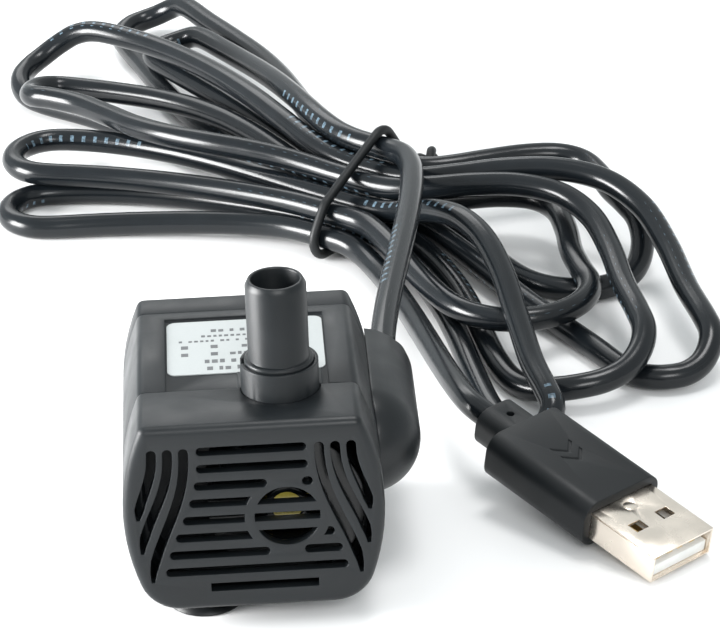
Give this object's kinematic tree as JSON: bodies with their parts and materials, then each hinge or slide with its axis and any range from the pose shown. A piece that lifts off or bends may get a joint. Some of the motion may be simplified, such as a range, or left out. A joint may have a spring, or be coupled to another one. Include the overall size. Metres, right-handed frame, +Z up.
{
  "type": "submersible fountain pump",
  "caption": "Small submersible fountain pump with slotted intake cover, push-in outlet nozzle, magnet-drive impeller, suction feet and a hanked cable with a USB-A plug.",
  "frame": {"origin": "on the plane the suction cups and the cable rest on, under the middle of the pump body", "axes": "+X to the pump's right (cable housing side), +Y to its rear, +Z up along the outlet; the intake faces -Y"},
  "size_m": [0.1154, 0.2242, 0.0487],
  "materials": {
    "body_plastic": "satin",
    "outlet_plastic": "satin",
    "inner_plastic": "gloss",
    "seal_rubber": "matte",
    "cup_rubber": "satin",
    "ceramic": "polished",
    "washer_plastic": "satin",
    "impeller_plastic": "matte",
    "ferrite": "matte",
    "core_steel": "brushed",
    "bobbin_plastic": "satin",
    "copper": "enamelled",
    "board_mask": "satin",
    "chip_plastic": "matte",
    "can_sleeve": "gloss",
    "resin": "gloss",
    "cable_pvc": "satin",
    "tie_pvc": "matte",
    "red_pvc": "satin",
    "black_pvc": "satin",
    "plated_steel": "satin plated",
    "white_plastic": "satin",
    "gold": "polished",
    "label_paper": "matte"
  },
  "bodies": {
    "pump": {"motor_housing": "body_plastic", "rear_bush": "ceramic", "stator_core": "core_steel", "stator_bobbin": "bobbin_plastic", "stator_winding": "copper", "driver_board": "board_mask", "hall_sensor": "chip_plastic", "driver_chip": "chip_plastic", "capacitor": "can_sleeve", "potting_resin": "resin", "rear_cover": "body_plastic", "cable_housing": "body_plastic", "cable_gland": "seal_rubber", "power_cable": "cable_pvc", "red_lead": "red_pvc", "black_lead": "black_pvc", "cable_tie": "tie_pvc", "plug_grip": "cable_pvc", "plug_shell": "plated_steel", "plug_insulator": "white_plastic", "plug_contacts": "gold", "suction_cups": "cup_rubber", "rating_label": "label_paper"},
    "strainer": {"intake_strainer": "body_plastic"},
    "chamber_lid": {"chamber_cover": "inner_plastic", "chamber_seal": "seal_rubber", "front_bush": "ceramic"},
    "shaft": {"rotor_shaft": "ceramic", "thrust_washers": "washer_plastic"},
    "rotor": {"impeller": "impeller_plastic", "rotor_magnet": "ferrite"},
    "nozzle_seat": {"nozzle_seal": "seal_rubber"},
    "nozzle": {"outlet_nozzle": "outlet_plastic"}
  },
  "joints": [
    {"name": "strainer_pull", "type": "slide", "parent": "pump", "child": "strainer", "axis": [0, -1, 0], "range_m": [0, 0.06]},
    {"name": "chamber_lid_pull", "type": "slide", "parent": "pump", "child": "chamber_lid", "axis": [0, -1, 0], "range_m": [0, 0.042]},
    {"name": "shaft_pull", "type": "slide", "parent": "pump", "child": "shaft", "axis": [0, -1, 0], "range_m": [0, 0.03]},
    {"name": "rotor_spin", "type": "hinge", "parent": "shaft", "child": "rotor", "pos_m": [0.00455, 0, 0.0177], "axis": [0, 1, 0], "continuous": true},
    {"name": "nozzle_lift", "type": "slide", "parent": "pump", "child": "nozzle_seat", "axis": [0, 0, 1], "range_m": [0, 0.012]},
    {"name": "nozzle_turn", "type": "hinge", "parent": "nozzle_seat", "child": "nozzle", "pos_m": [0.00455, -0.00955, 0.04], "axis": [0, 0, 1], "continuous": true}
  ],
  "couplings": [
    {"joint": "chamber_lid_pull", "follows": "strainer_pull", "ratio": 0.7},
    {"joint": "shaft_pull", "follows": "strainer_pull", "ratio": 0.5}
  ]
}
